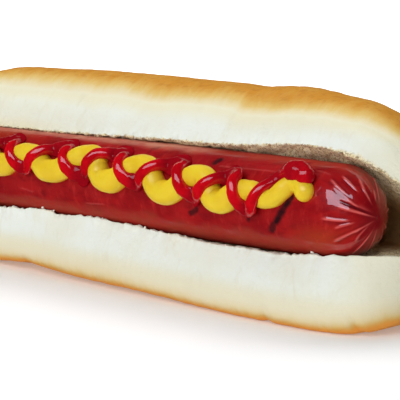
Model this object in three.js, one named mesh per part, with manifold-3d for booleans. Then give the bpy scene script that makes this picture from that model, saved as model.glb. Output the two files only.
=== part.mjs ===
// A hot dog: a soft side-split bun lying on its base, a smoked sausage in its open mouth, and a
// bead of mustard and a thinner bead of ketchup that swing across each other along the sausage.
//
// Millimetres and degrees. +X runs along the sausage, -Y is the open front of the bun, +Z is up.
// The origin is on the ground, under the middle of the hot dog.

import * as THREE from 'three';
import { mergeVertices } from 'three/addons/utils/BufferGeometryUtils.js';
import Module from 'manifold-3d';

// ---- Sausage ----
const SAUSAGE_RADIUS = 11;
const SAUSAGE_HALF_LENGTH = 80;
const SAUSAGE_Y = -13.34;
const SAUSAGE_Z = 25.5;
const SAUSAGE_SLIMMING = 0.03; // share of the radius lost between the middle and the ends
const SAUSAGE_SIDES = 40;
const SAUSAGE_BODY_RINGS = 12;
const CAP_LENGTH = 12.4;
const CAP_RINGS = 7;
const CAP_LAST_ANGLE = 84; // the rings stop here and a small dimple closes the tip
const PUCKER_FOLDS = 10;
const PUCKER_DEPTH = 0.7;
const DIMPLE_DEPTH = 0.8;

// ---- Bun, measured on the closed bun before its upper half is lifted ----
const BUN_HALF_LENGTH = 86;
const BUN_WIDTH = 49;
const LOWER_THICKNESS = 16.3;
const UPPER_THICKNESS = 23.8;
const UPPER_FULLNESS = 2; // the upper half is thicker by this much towards -X
const FULL_UNTIL_X = -30; // and loses it from here
const THIN_FROM_X = 52; // to here
const HINGE_FROM_FRONT = 34.6;
const SLIT_DEPTH = 27;
const END_RUN = 32; // length of the rounding at each end of the bun
const UPPER_END_RUN = 34; // the crown slopes away over this length at the -X end
const UPPER_END_RUN_AHEAD = 63; // and sooner at the +X end
const END_PLAN_POWER = 3.5;
const END_UPPER_POWER = 2.6;
const END_LOWER_POWER = 6;
const END_LAST_SHARE = 0.9985; // the last section stands this far along the rounding
const PLAN_CENTRE_FROM_FRONT = 24.5;
const FRONT_OVERHANG = 7.9; // how far the lower lip stands in front of the sausage's axis
const SEAT_BELOW_AXIS = 9.2; // depth of the lower cut face under the sausage's axis
const LIP_HEIGHT_BEHIND = 0.9; // the lower lip stands this far over the slit towards -X
const LIP_HEIGHT_AHEAD = -0.5; // and sags this far below it towards +X
const LIP_SAG_FROM = -5;
const LIP_SAG_TO = 35;
const END_LIP_RISE = 2; // the lower lip curls up round the sausage's ends
const END_LIP_FROM = 50;
const LOWER_BULGE = 2.4;
const UPPER_BULGE = 1.2;
const RIM_RADIUS = 3.6;
const SIDE_HEIGHT = 11; // upright part of the upper half's front, below its rounded shoulder
const SHOULDER_RUN = 17;
const SHOULDER_POWER = 2.2;
const DOME_POWER = 2.2;
const LOWER_BACK_RUN = 12;
const LOWER_BACK_POWER = 2.3;
const OPENING_ANGLE = 35;
const OPENING_GAIN = 2.6; // the mouth opens wider than that towards +X
const OPENING_GAIN_FROM = -40;
const OPENING_GAIN_TO = 20;
const YAWN_ANGLE = 4.2; // and widest round YAWN_X
const YAWN_X = 57;
const YAWN_LENGTH = 17;
const BEND_FROM = -50; // the bread bends between these two angles round the hinge
const BEND_TO = 95;
const FRONT_WANDER = 2; // the lower half's front is fuller towards +X
const WANDER_LENGTH = 40;
const RIM_LIFT = 1.6; // the base's front edge stands off the ground round RIM_LIFT_X
const RIM_LIFT_X = -33;
const RIM_LIFT_LENGTH = 20;
const RIM_LIFT_SHARE = 0.4; // share of the base's width that is lifted
const SLIT_END_ROUND = 2.5;
const BUN_MIDDLE_SECTIONS = 15;
const BUN_END_SECTIONS = 10;
const FRONT_STEPS = 4;
const RIM_STEPS = 3;
const BASE_STEPS = 5;
const LOWER_BACK_STEPS = 6;
const DOME_STEPS = 9;
const SHOULDER_STEPS = 7;
const CUT_STEPS = 8;

// ---- Sauces: both swing up and down the sausage as they run along it ----
const SWING_PITCH = 20.5;
const SLOWING_X = 34.2; // from this upper turn of the mustard on, the swings lie closer together
const TURN_FLATNESS = 0.05;
const MUSTARD_LATE_PITCH = 14.8;
const KETCHUP_LATE_PITCH = 16.8;
const MUSTARD_START = -4.75; // counted in swings from SLOWING_X
const MUSTARD_END = 2.18;
const MUSTARD_MIDDLE_ANGLE = 20;
const MUSTARD_SWING_ANGLE = 14;
const MUSTARD_RADIUS = 2.9;
const MUSTARD_TURN_SWELL = 0.35;
const MUSTARD_LAST_RADIUS = 2.15; // the bead runs thin over its last swing
const MUSTARD_THINS_FROM = 0.7;
const MUSTARD_THIN_BY = 1.5;
const MUSTARD_LIFT = 0.7; // height of the bead's centre line above the sausage
const MUSTARD_STRAYS = [ // [swing, shift along, shift round] of turns that stray from the even wave
  [-4.5, 0, 6],
  [-3.5, 0, 7],
  [-3, 0, -3.5],
  [-2.5, 0, 7],
  [-2, 2.4, 5],
  [-1.5, 0.4, 4],
  [-1, 1.2, 0],
  [0, 0.6, -4.5],
  [1, 1, -15],
  [1.5, 0, 9],
];
const MUSTARD_RINGS_PER_SWING = 12;
const MUSTARD_SIDES = 10;
const KETCHUP_START = -4.5;
const KETCHUP_END = 1.9;
const KETCHUP_MIDDLE_ANGLE = 25;
const KETCHUP_SWING_ANGLE = 22;
const KETCHUP_RADIUS = 1.4;
const KETCHUP_TURN_SPREAD = 0.6; // the bead runs wide at its turns
const KETCHUP_TURN_FLATTENING = 0.35; // and thin
const KETCHUP_BLOB_RADIUS = 2.9;
const KETCHUP_BLOB_SPAN = 0.17;
const KETCHUP_BLOB_AT = 1.76;
const KETCHUP_LIFT = 0.4;
const KETCHUP_EASING = 1.6; // it starts to climb onto the mustard this many times sooner than it must
const KETCHUP_EASING_POWER = 1.5;
const KETCHUP_STRAYS = [
  [-3, 0, 10],
  [-2.5, 1, 0],
  [-2, 0, 11],
  [-1.5, 1, -3],
  [-1, 0, 11],
  [-0.5, 1.5, -6],
  [0, 0, 5],
  [0.5, 2.4, -11],
  [1.35, 0, -6],
];
const STRAY_SPAN = 0.3; // a stray turn shifts the bead over about this many swings
const KETCHUP_RINGS_PER_SWING = 14;
const KETCHUP_SIDES = 8;

const ROUTE_STEP = 0.01;
const BEAD_END_ANGLES = [30, 60];
const CROSSING_SPAN = 0.5;
const CROSSING_SAMPLES = 100;
const KETCHUP_LAST_TURN = 1.5; // the ketchup's last upper turn, which is drawn out
const KETCHUP_LAST_TURN_SPAN = 0.6;

const GAP = 0.3; // kept between pieces that touch
const POCKET_LEAD = 3; // the bread gives way this far past the sausage's tips
const POCKET_GAP = 0.5; // wider in the bun, whose flat facets cut the corner round the sausage

// ---- Small helpers ----
const radians = THREE.MathUtils.degToRad;
const mix = THREE.MathUtils.lerp;
const TURN = 2 * Math.PI;

/** Evenly spaced values from 0 to 1, both included. */
const steps = (count) => Array.from({ length: count + 1 }, (_, i) => i / count);

/** A smooth bump of height 1 at a place, fading over a length. */
const bump = (x, place, length) => Math.exp(-(((x - place) / length) ** 2));

/** A quarter of a superellipse from (1, 0) to (0, 1), as [across, up] pairs. */
function quarter(count, power) {
  return steps(count).map((t) => {
    const angle = (t * Math.PI) / 2;
    return [Math.cos(angle) ** (2 / power), Math.sin(angle) ** (2 / power)];
  });
}

/** A closed body through rings of points; each end is a flat cap, or a fan to a tip point. */
function loft(rings, startTip, endTip) {
  const count = rings[0].length;
  const positions = rings.flat().flatMap((p) => [p.x, p.y, p.z]);
  const indices = [];
  for (let r = 0; r + 1 < rings.length; r += 1) {
    for (let i = 0; i < count; i += 1) {
      const a = r * count + i;
      const b = r * count + ((i + 1) % count);
      indices.push(a, b, b + count, a, b + count, a + count);
    }
  }
  const closeEnd = (first, ring, tip, reversed) => {
    let triangles;
    if (tip) {
      const apex = positions.length / 3;
      positions.push(tip.x, tip.y, tip.z);
      triangles = ring.map((_, i) => [apex, first + ((i + 1) % count), first + i]);
    } else {
      const flat = ring.map((p) => new THREE.Vector2(p.y, p.z));
      const clockwise = THREE.ShapeUtils.isClockWise(flat);
      triangles = THREE.ShapeUtils.triangulateShape(flat, []).map(([a, b, c]) =>
        clockwise ? [first + a, first + b, first + c] : [first + a, first + c, first + b]);
    }
    for (const [a, b, c] of triangles) indices.push(...(reversed ? [a, c, b] : [a, b, c]));
  };
  closeEnd(0, rings[0], startTip, false);
  closeEnd((rings.length - 1) * count, rings[rings.length - 1], endTip, true);
  const geometry = new THREE.BufferGeometry();
  geometry.setAttribute('position', new THREE.Float32BufferAttribute(positions, 3));
  geometry.setIndex(indices);
  return facingOut(geometry);
}

/** Six times the signed volume of an indexed geometry. */
function signedVolume(geometry) {
  const position = geometry.getAttribute('position');
  const index = geometry.getIndex();
  const [a, b, c] = [new THREE.Vector3(), new THREE.Vector3(), new THREE.Vector3()];
  let volume = 0;
  for (let i = 0; i < index.count; i += 3) {
    a.fromBufferAttribute(position, index.getX(i));
    b.fromBufferAttribute(position, index.getX(i + 1));
    c.fromBufferAttribute(position, index.getX(i + 2));
    volume += a.dot(b.cross(c));
  }
  return volume;
}

/** Turns the faces round if they point inwards. */
function facingOut(geometry) {
  if (signedVolume(geometry) < 0) {
    const index = geometry.getIndex().array;
    for (let i = 0; i < index.length; i += 3) [index[i + 1], index[i + 2]] = [index[i + 2], index[i + 1]];
  }
  return geometry;
}

// ---- Cutting one piece by another ----
const wasm = await Module();
wasm.setup();

function toSolid(geometry) {
  const bare = geometry.clone();
  bare.deleteAttribute('normal');
  bare.deleteAttribute('uv');
  const merged = mergeVertices(bare);
  return new wasm.Manifold(new wasm.Mesh({
    numProp: 3,
    vertProperties: merged.getAttribute('position').array,
    triVerts: merged.getIndex().array,
  }));
}

function toGeometry(solid) {
  const mesh = solid.getMesh();
  const geometry = new THREE.BufferGeometry();
  geometry.setAttribute('position', new THREE.BufferAttribute(mesh.vertProperties, 3));
  geometry.setIndex(new THREE.BufferAttribute(mesh.triVerts, 1));
  return geometry;
}

// ---- Sausage ----

/** Radius of the sausage at a place along it, before its end folds; zero past its ends. */
function sausageRadius(x) {
  const share = Math.abs(x) / SAUSAGE_HALF_LENGTH;
  const body = SAUSAGE_RADIUS * (1 - SAUSAGE_SLIMMING * share * share);
  const intoCap = (Math.abs(x) - (SAUSAGE_HALF_LENGTH - CAP_LENGTH)) / CAP_LENGTH;
  if (intoCap >= 1) return 0;
  return intoCap <= 0 ? body : body * Math.sqrt(1 - intoCap * intoCap);
}

/** A point round the sausage: angle 0 faces the front, 90 is on top. */
function roundSausage(x, angle, distance) {
  const turn = radians(angle);
  return new THREE.Vector3(
    x,
    SAUSAGE_Y - distance * Math.cos(turn),
    SAUSAGE_Z + distance * Math.sin(turn),
  );
}

/** One ring of the sausage; folds deepen towards its gathered ends. */
function sausageRing(x, extra) {
  const intoCap = Math.max(0, (Math.abs(x) - (SAUSAGE_HALF_LENGTH - CAP_LENGTH)) / CAP_LENGTH);
  const depth = PUCKER_DEPTH * Math.sin(Math.PI * Math.min(1, intoCap) ** 2);
  return steps(SAUSAGE_SIDES).slice(0, -1).map((t) => {
    const fold = 0.5 - 0.5 * Math.cos(TURN * PUCKER_FOLDS * t);
    return roundSausage(x, 360 * t, sausageRadius(x) + extra - depth * fold);
  });
}

/** The sausage, made fatter by extra when it cuts a piece that lies on it. */
function sausageGeometry(extra = 0) {
  const capAngles = steps(CAP_RINGS).map((t) => radians(CAP_LAST_ANGLE * t));
  const capStart = SAUSAGE_HALF_LENGTH - CAP_LENGTH;
  const cap = capAngles.map((angle) => capStart + CAP_LENGTH * Math.sin(angle));
  const body = steps(SAUSAGE_BODY_RINGS).slice(1, -1).map((t) => mix(-capStart, capStart, t));
  const places = [...cap.map((x) => -x).reverse(), ...body, ...cap];
  const tip = SAUSAGE_HALF_LENGTH - DIMPLE_DEPTH;
  return loft(
    places.map((x) => sausageRing(x, extra)),
    roundSausage(-tip, 0, 0),
    roundSausage(tip, 0, 0),
  );
}

// ---- Bun ----

/** How much of its full size a section keeps at a place along the bun. */
function endTaper(x, power, run = END_RUN) {
  const share = Math.max(0, (Math.abs(x) - (BUN_HALF_LENGTH - run)) / run);
  return (1 - Math.min(1, share) ** power) ** (1 / power);
}

/** Thickness of the upper half over the slit. */
function upperThickness(x) {
  const fullness = UPPER_FULLNESS * (1 - THREE.MathUtils.smoothstep(x, FULL_UNTIL_X, THIN_FROM_X));
  const run = x < 0 ? UPPER_END_RUN : UPPER_END_RUN_AHEAD;
  return (UPPER_THICKNESS + fullness) * endTaper(x, END_UPPER_POWER, run);
}

/** Height of the lower lip above the slit. */
function lowerLipHeight(x) {
  const sag = THREE.MathUtils.smoothstep(x, LIP_SAG_FROM, LIP_SAG_TO);
  const rise = END_LIP_RISE * THREE.MathUtils.smoothstep(Math.abs(x), END_LIP_FROM, BUN_HALF_LENGTH);
  return (mix(LIP_HEIGHT_BEHIND, LIP_HEIGHT_AHEAD, sag) + rise) * endTaper(x, END_PLAN_POWER);
}

/** Angle between the bun's two cut faces. */
function openingAt(x) {
  const gain = OPENING_GAIN * THREE.MathUtils.smoothstep(x, OPENING_GAIN_FROM, OPENING_GAIN_TO);
  return OPENING_ANGLE + gain + YAWN_ANGLE * bump(x, YAWN_X, YAWN_LENGTH);
}

/** The closed bun's outline from the lower lip round the back to the upper lip.
 * Each point is [distance in front of the hinge, height above the slit]. */
function closedOutline(x) {
  const width = endTaper(x, END_PLAN_POWER);
  const upper = upperThickness(x);
  const lower = LOWER_THICKNESS * endTaper(x, END_LOWER_POWER);
  const front = HINGE_FROM_FRONT * width;
  const back = (HINGE_FROM_FRONT - BUN_WIDTH) * width;
  const rim = RIM_RADIUS * endTaper(x, END_LOWER_POWER);
  const side = (upper * SIDE_HEIGHT) / UPPER_THICKNESS;
  const crest = front - SHOULDER_RUN * width;
  const lowerBack = LOWER_BACK_RUN * width;
  const wander = FRONT_WANDER * Math.sin(x / WANDER_LENGTH) * width;
  const fuller = front + wander + LOWER_BULGE;
  const lifted = RIM_LIFT * bump(x, RIM_LIFT_X, RIM_LIFT_LENGTH);
  return [
    ...steps(FRONT_STEPS).map((t) => [
      mix(front, fuller, Math.sin((t * Math.PI) / 2)),
      mix(lowerLipHeight(x), lifted + rim - lower, t),
    ]),
    ...quarter(RIM_STEPS, 2).slice(1).map(([a, b]) => [
      fuller - rim + rim * a,
      lifted + rim - lower - rim * b,
    ]),
    ...steps(BASE_STEPS).slice(1).map((t) => [
      mix(fuller - rim, back + lowerBack, t),
      lifted * Math.max(0, 1 - t / RIM_LIFT_SHARE) ** 2 - lower,
    ]),
    ...quarter(LOWER_BACK_STEPS, LOWER_BACK_POWER).reverse().slice(1).map(([a, b]) => [
      back + lowerBack * (1 - a),
      -lower * b,
    ]),
    ...quarter(DOME_STEPS, DOME_POWER).slice(1).map(([a, b]) => [mix(crest, back, a), upper * b]),
    ...quarter(SHOULDER_STEPS, SHOULDER_POWER).reverse().slice(1).map(([a, b]) => [
      mix(crest, front, a),
      side + (upper - side) * b,
    ]),
    ...steps(FRONT_STEPS).slice(1).map((t) => [
      front + UPPER_BULGE * width * Math.sin(Math.PI * t) * (1 - t),
      side * (1 - t),
    ]),
  ];
}

/** Keeps a point of the cut bread clear of the sausage and of the space just past its tips. */
function outsideSausage(point) {
  const radius = sausageRadius(Math.max(0, Math.abs(point.x) - POCKET_LEAD));
  if (radius === 0) return point;
  const across = point.y - SAUSAGE_Y;
  const up = point.z - SAUSAGE_Z;
  const push = (radius + POCKET_GAP) / Math.hypot(across, up);
  return push > 1
    ? new THREE.Vector3(point.x, SAUSAGE_Y + across * push, SAUSAGE_Z + up * push)
    : point;
}

/** One section of the open bun: the closed outline, lifted round the hinge, and the cut faces. */
function bunSection(x) {
  const width = endTaper(x, END_PLAN_POWER);
  const hingeY = SAUSAGE_Y - FRONT_OVERHANG + PLAN_CENTRE_FROM_FRONT
    + (HINGE_FROM_FRONT - PLAN_CENTRE_FROM_FRONT) * width;
  const hingeZ = SAUSAGE_Z - SEAT_BELOW_AXIS;
  const opening = openingAt(x);
  const place = (distance, angle) => new THREE.Vector3(
    x,
    hingeY + distance * Math.cos(radians(angle)),
    Math.max(0, hingeZ + distance * Math.sin(radians(angle))),
  );
  const outline = closedOutline(x).map(([ahead, height], i, all) => {
    const angle = THREE.MathUtils.radToDeg(Math.atan2(height, -ahead));
    const isUpperLip = i === all.length - 1;
    const bend = isUpperLip ? 1 : THREE.MathUtils.smoothstep(angle, BEND_FROM, BEND_TO);
    const lift = i <= FRONT_STEPS ? 0 : opening * bend;
    return outsideSausage(place(Math.hypot(ahead, height), angle - lift));
  });
  const lip = HINGE_FROM_FRONT * width;
  const slitEnd = (HINGE_FROM_FRONT - SLIT_DEPTH) * width;
  const inward = steps(CUT_STEPS).slice(1).map((t) => mix(lip, slitEnd, t));
  const upperFace = inward.map((distance) => outsideSausage(place(distance, 180 - opening)));
  const slitBottom = place(Math.max(0, slitEnd - SLIT_END_ROUND * width), 180 - opening / 2);
  const lowerFace = inward.map((distance) => {
    const point = place(distance, 180);
    point.z += lowerLipHeight(x) * (distance / lip) ** 2;
    return outsideSausage(point);
  });
  return [...outline, ...upperFace, slitBottom, ...lowerFace.reverse()];
}

function bunGeometry() {
  const straight = BUN_HALF_LENGTH - END_RUN;
  const ends = steps(BUN_END_SECTIONS).map((t) => {
    const share = END_LAST_SHARE * Math.sin((t * Math.PI) / 2);
    return straight + END_RUN * share;
  });
  const middle = steps(BUN_MIDDLE_SECTIONS).slice(1, -1).map((t) => mix(-straight, straight, t));
  const places = [...ends.map((x) => -x).reverse(), ...middle, ...ends];
  return loft(places.map(bunSection));
}

// ---- Sauces ----

/** A wave from 1 to -1 and back, with broad turns and steep flanks. */
const swingWave = (swing) =>
  (Math.cos(TURN * swing) - TURN_FLATNESS * Math.cos(3 * TURN * swing)) / (1 - TURN_FLATNESS);

/** Where along the sausage a swing lies; the mustard turns at its top at each whole swing. */
const swingPlace = (swing, latePitch) =>
  SLOWING_X + swing * (swing > 0 ? latePitch : SWING_PITCH);

/** How far a swing strays from the even wave, as [along the sausage, round it]. */
function straying(swing, strays) {
  return strays.reduce(([along, round], [place, shift, turn]) => {
    const near = bump(swing, place, STRAY_SPAN);
    return [along + shift * near, round + turn * near];
  }, [0, 0]);
}

function mustardPoint(swing) {
  const [along, round] = straying(swing, MUSTARD_STRAYS);
  const angle = MUSTARD_MIDDLE_ANGLE + MUSTARD_SWING_ANGLE * swingWave(swing) + round;
  const x = swingPlace(swing, MUSTARD_LATE_PITCH) + along;
  return roundSausage(x, angle, sausageRadius(x) + MUSTARD_LIFT);
}

function mustardRadius(swing) {
  const towardsEnd = THREE.MathUtils.smoothstep(swing, MUSTARD_THINS_FROM, MUSTARD_THIN_BY);
  const radius = mix(MUSTARD_RADIUS, MUSTARD_LAST_RADIUS, towardsEnd);
  return radius - MUSTARD_TURN_SWELL * Math.cos(TURN * swing) * (1 - towardsEnd);
}

/** A bead of sauce along a route, as rings square to the route, closed by two round ends.
 * sizeAt gives half its width and half its height. */
function beadGeometry(route, sizeAt, from, to, ringsPerSwing, sides, extra = 0) {
  const ring = (centre, ahead, halfWidth, halfHeight) => {
    const outward = new THREE.Vector3(0, centre.y - SAUSAGE_Y, centre.z - SAUSAGE_Z);
    outward.addScaledVector(ahead, -outward.dot(ahead)).normalize();
    const sideways = new THREE.Vector3().crossVectors(ahead, outward);
    return steps(sides).slice(0, -1).map((t) => centre.clone()
      .addScaledVector(outward, halfHeight * Math.cos(TURN * t))
      .addScaledVector(sideways, halfWidth * Math.sin(TURN * t)));
  };
  const aheadAt = (swing) =>
    route(swing + ROUTE_STEP).sub(route(swing - ROUTE_STEP)).normalize();
  const grown = (swing) => sizeAt(swing).map((size) => size + extra);
  const end = (swing, direction) => {
    const ahead = aheadAt(swing);
    const [halfWidth, halfHeight] = grown(swing);
    const beyond = (angle) =>
      route(swing).addScaledVector(ahead, direction * halfWidth * Math.sin(angle));
    return {
      rings: BEAD_END_ANGLES.map(radians).map((angle) =>
        ring(beyond(angle), ahead, halfWidth * Math.cos(angle), halfHeight * Math.cos(angle))),
      tip: beyond(Math.PI / 2),
    };
  };
  const count = Math.round((to - from) * ringsPerSwing);
  const body = steps(count).map((t) => {
    const swing = mix(from, to, t);
    return ring(route(swing), aheadAt(swing), ...grown(swing));
  });
  const start = end(from, -1);
  const finish = end(to, 1);
  return loft([...start.rings.reverse(), ...body, ...finish.rings], start.tip, finish.tip);
}

/** Angle round the sausage and place along it of the ketchup's centre line. */
function ketchupPath(swing) {
  const pastLastTurn = Math.max(0, swing - KETCHUP_LAST_TURN) / KETCHUP_LAST_TURN_SPAN;
  const turning = swing < KETCHUP_LAST_TURN
    ? -swingWave(swing)
    : Math.cos((Math.PI / 2) * pastLastTurn ** 2);
  const [along, round] = straying(swing, KETCHUP_STRAYS);
  return {
    angle: KETCHUP_MIDDLE_ANGLE + KETCHUP_SWING_ANGLE * turning + round,
    x: swingPlace(swing, KETCHUP_LATE_PITCH) + along,
  };
}

/** How far the ketchup has to stand off the skin to pass over the mustard. */
function overMustard(swing) {
  const { angle, x } = ketchupPath(swing);
  const base = roundSausage(x, angle, sausageRadius(x) + MUSTARD_LIFT);
  const reach = mustardRadius(swing) + KETCHUP_LIFT;
  const nearest = steps(CROSSING_SAMPLES).reduce((least, t) => {
    const beside = mustardPoint(mix(swing - CROSSING_SPAN, swing + CROSSING_SPAN, t));
    return Math.min(least, beside.distanceTo(base));
  }, Infinity);
  const share = Math.min(1, nearest / (KETCHUP_EASING * reach));
  return reach * (1 - share * share) ** KETCHUP_EASING_POWER;
}

function ketchupPoint(swing) {
  const { angle, x } = ketchupPath(swing);
  return roundSausage(x, angle, sausageRadius(x) + KETCHUP_LIFT + overMustard(swing));
}

/** Half the ketchup's width and height: flat at its turns, and round where it ends in a blob. */
function ketchupSize(swing) {
  const turning = swing < KETCHUP_LAST_TURN ? Math.cos(TURN * swing) ** 2 : 0;
  const blob = (KETCHUP_BLOB_RADIUS - KETCHUP_RADIUS) * bump(swing, KETCHUP_BLOB_AT, KETCHUP_BLOB_SPAN);
  return [
    KETCHUP_RADIUS + KETCHUP_TURN_SPREAD * turning + blob,
    KETCHUP_RADIUS - KETCHUP_TURN_FLATTENING * turning + blob,
  ];
}

const mustardGeometry = (extra = 0) => beadGeometry(
  mustardPoint, (swing) => [mustardRadius(swing), mustardRadius(swing)], MUSTARD_START, MUSTARD_END,
  MUSTARD_RINGS_PER_SWING, MUSTARD_SIDES, extra,
);

const ketchupGeometry = () => beadGeometry(
  ketchupPoint, ketchupSize, KETCHUP_START, KETCHUP_END, KETCHUP_RINGS_PER_SWING, KETCHUP_SIDES,
);

// ---- The hot dog ----
function named(name, geometry, color, roughness) {
  geometry.computeVertexNormals();
  const mesh = new THREE.Mesh(
    geometry,
    new THREE.MeshStandardMaterial({ color, roughness, metalness: 0 }),
  );
  mesh.name = name;
  return mesh;
}

const besideSausage = toSolid(sausageGeometry(GAP));
const mustard = toSolid(mustardGeometry()).subtract(besideSausage);
const ketchup = toSolid(ketchupGeometry())
  .subtract(besideSausage)
  .subtract(toSolid(mustardGeometry(GAP)));

const hotDog = new THREE.Group();
hotDog.add(
  named('bun', bunGeometry(), 0xe9d9b8, 0.85),
  named('sausage', sausageGeometry(), 0x9c1620, 0.3),
  named('mustard', toGeometry(mustard), 0xe8cf2c, 0.4),
  named('ketchup', toGeometry(ketchup), 0xb80c1a, 0.2),
);

export default hotDog;
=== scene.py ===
"""Looks of the hot dog: bread, sausage skin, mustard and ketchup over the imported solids.

Forms are worked out in millimetres, from the same named sizes as the solids, and turned into metres
when a mesh is made. +X runs along the sausage, -Y is the open front of the bun, +Z is up.
"""
import math
import random
from types import SimpleNamespace

import bmesh
import bpy
import numpy as np
from mathutils import Matrix, Vector, noise


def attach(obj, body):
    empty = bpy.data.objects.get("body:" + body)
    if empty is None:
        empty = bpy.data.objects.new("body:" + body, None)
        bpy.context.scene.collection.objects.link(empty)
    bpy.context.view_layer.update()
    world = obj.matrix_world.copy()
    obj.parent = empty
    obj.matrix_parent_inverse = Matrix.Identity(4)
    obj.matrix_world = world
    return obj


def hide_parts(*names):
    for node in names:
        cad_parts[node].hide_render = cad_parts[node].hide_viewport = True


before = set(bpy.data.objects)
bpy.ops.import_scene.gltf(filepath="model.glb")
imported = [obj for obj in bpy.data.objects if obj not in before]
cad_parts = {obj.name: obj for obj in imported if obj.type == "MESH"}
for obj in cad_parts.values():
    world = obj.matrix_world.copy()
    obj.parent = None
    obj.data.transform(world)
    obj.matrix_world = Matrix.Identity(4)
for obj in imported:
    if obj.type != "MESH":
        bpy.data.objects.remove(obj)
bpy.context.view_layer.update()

MM = 0.001
TURN = 2 * math.pi
rng = random.Random(7)

# ---- Sausage ----
SAUSAGE_RADIUS = 11
SAUSAGE_HALF_LENGTH = 80
SAUSAGE_Y = -13.34
SAUSAGE_Z = 25.5
SAUSAGE_SLIMMING = 0.03
CAP_LENGTH = 12.4  # length of the gathered ends
CAP_START = SAUSAGE_HALF_LENGTH - CAP_LENGTH
SAUSAGE_SIDES = 360
SAUSAGE_BODY_RINGS = 170
MARKED_PLACES = (26, 66)  # the rings stand closer together where the skin is marked
MARKED_DENSITY = 2.6
CAP_RINGS = 42
CAP_LAST_TURN = 88  # degrees round a gathered end where its last ring stands
RING_SAMPLES = 4001
PUCKER_SHIFT = 1.5  # how far the gathered tip stands in front of the axis
TIP_DEPTH = 0.24  # how far inside the end that tip lies

# ---- Bun, measured on the closed bun before its upper half is lifted ----
BUN_HALF_LENGTH = 86
BUN_WIDTH = 49
LOWER_THICKNESS = 16.3
UPPER_THICKNESS = 23.8
UPPER_FULLNESS = 2
FULLNESS_FADE = (-30, 52)
HINGE_FROM_FRONT = 34.6
SLIT_DEPTH = 27
END_RUN = 32
UPPER_END_RUN = 34
UPPER_END_RUN_AHEAD = 63
END_PLAN_POWER = 3.5
END_UPPER_POWER = 2.6
END_LOWER_POWER = 6
PLAN_CENTRE_FROM_FRONT = 24.5
FRONT_OVERHANG = 7.9
SEAT_BELOW_AXIS = 9.2
LIP_HEIGHT_BEHIND = 0.9
LIP_HEIGHT_AHEAD = -0.5
LIP_SAG_PLACES = (-5, 35)
END_LIP_RISE = 2
END_LIP_FROM = 50
LOWER_BULGE = 2.4
UPPER_BULGE = 1.2
RIM_RADIUS = 3.6
SIDE_HEIGHT = 11
SHOULDER_RUN = 17
SHOULDER_POWER = 2.2
DOME_POWER = 2.2
LOWER_BACK_RUN = 12
LOWER_BACK_POWER = 2.3
OPENING_ANGLE = 35
OPENING_GAIN = 2.6
OPENING_GAIN_PLACES = (-40, 20)
YAWN = (57, 4.2, 17)  # the mouth opens wider here: place, angle and length
BEND_ANGLES = (-50, 95)
FRONT_WANDER = 2
WANDER_LENGTH = 40
RIM_LIFT = (-33, 1.6, 20)  # the base's front rim is off the ground here: place, height and length
RIM_LIFT_SHARE = 0.4
SLIT_END_ROUND = 2.5
POCKET_LEAD = 3
POCKET_GAP = 0.1

BUN_MIDDLE_SECTIONS = 268
BUN_END_SECTIONS = 66
BUN_LAST_TURN = 89.6  # degrees round an end where the bun's last section stands
OUTLINE_POINTS = (26, 10, 14, 12, 36, 22, 24)  # on the front, rim, base, lower back, dome, shoulder and lip
UPPER_LIP = sum(OUTLINE_POINTS)
CUT_POINTS = 45
EDGE_CROWDING = 1.5  # points lie closer together towards the lips

# ---- Sauces ----
SWING_PITCH = 20.5
SLOWING_X = 34.2
TURN_FLATNESS = 0.05
MUSTARD_LATE_PITCH = 14.8
KETCHUP_LATE_PITCH = 16.8
MUSTARD_SWINGS = (-4.75, 2.18)  # the first and the last of its run
MUSTARD_MIDDLE_ANGLE = 20
MUSTARD_SWING_ANGLE = 14
MUSTARD_RADIUS = 2.8
MUSTARD_TURN_SWELL = 0.15
MUSTARD_LAST_RADIUS = 2.15
MUSTARD_THINNING = (0.7, 1.5)  # swings between which it thins
MUSTARD_LIFT = 0.7
MUSTARD_SURFACE = (11, 0.06, 0.03)  # seed, how much its width varies, and lumps as a share of half of it
MUSTARD_STRAYS = [  # (swing, shift along, shift round) of turns that stray from the even wave
    (-4.5, 0, 6), (-3.5, 0, 7), (-3, 0, -3.5), (-2.5, 0, 7), (-2, 2.4, 5),
    (-1.5, 0.4, 4), (-1, 1.2, 0), (0, 0.6, -4.5), (1, 1, -15), (1.5, 0, 9),
]
KETCHUP_SWINGS = (-4.5, 1.9)
KETCHUP_MIDDLE_ANGLE = 25
KETCHUP_SWING_ANGLE = 22
KETCHUP_RADIUS = 1.4
KETCHUP_TURN_SPREAD = 0.6
KETCHUP_TURN_FLATTENING = 0.35
KETCHUP_BLOB_RADIUS = 2.9
KETCHUP_BLOB_SPAN = 0.17
KETCHUP_BLOB_AT = 1.76
KETCHUP_LIFT = 0.4
KETCHUP_SURFACE = (23, 0.08, 0.12, 0.8)  # as the mustard's, and the share by which its foot spreads
KETCHUP_EASING = 1.6
KETCHUP_EASING_POWER = 1.5
KETCHUP_STRAYS = [
    (-3, 0, 10), (-2.5, 1, 0), (-2, 0, 11), (-1.5, 1, -3), (-1, 0, 11),
    (-0.5, 1.5, -6), (0, 0, 5), (0.5, 2.4, -11), (1.35, 0, -6),
]
STRAY_SPAN = 0.3
KETCHUP_LAST_TURN = 1.5
KETCHUP_LAST_TURN_SPAN = 0.6
RINGS_PER_SWING = 64
BEAD_SIDES = 32
BEAD_END_RINGS = 9
BEAD_LAST_TURN = 84  # degrees round a bead's end where its last ring stands
FOOT_HEIGHT = 1  # a sauce that wets the skin spreads below this height
BLOB_RAISED = 0.45
UNEVEN_WIDTH_SIZE = 3.5
LUMP_SIZE = 1.9
TURN_ROOM = 0.85  # share of a bend's radius that a bead may fill on its inner side
LOW_HEIGHTS = (0.1, 1.5)  # the skin's red shows in a sauce up to between these heights over it
SUNK_INTO_SKIN = 0.45  # the underside of a bead is hidden this far inside the sausage
CROSSING_SPAN = 0.5
CROSSING_SAMPLES = 100


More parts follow.
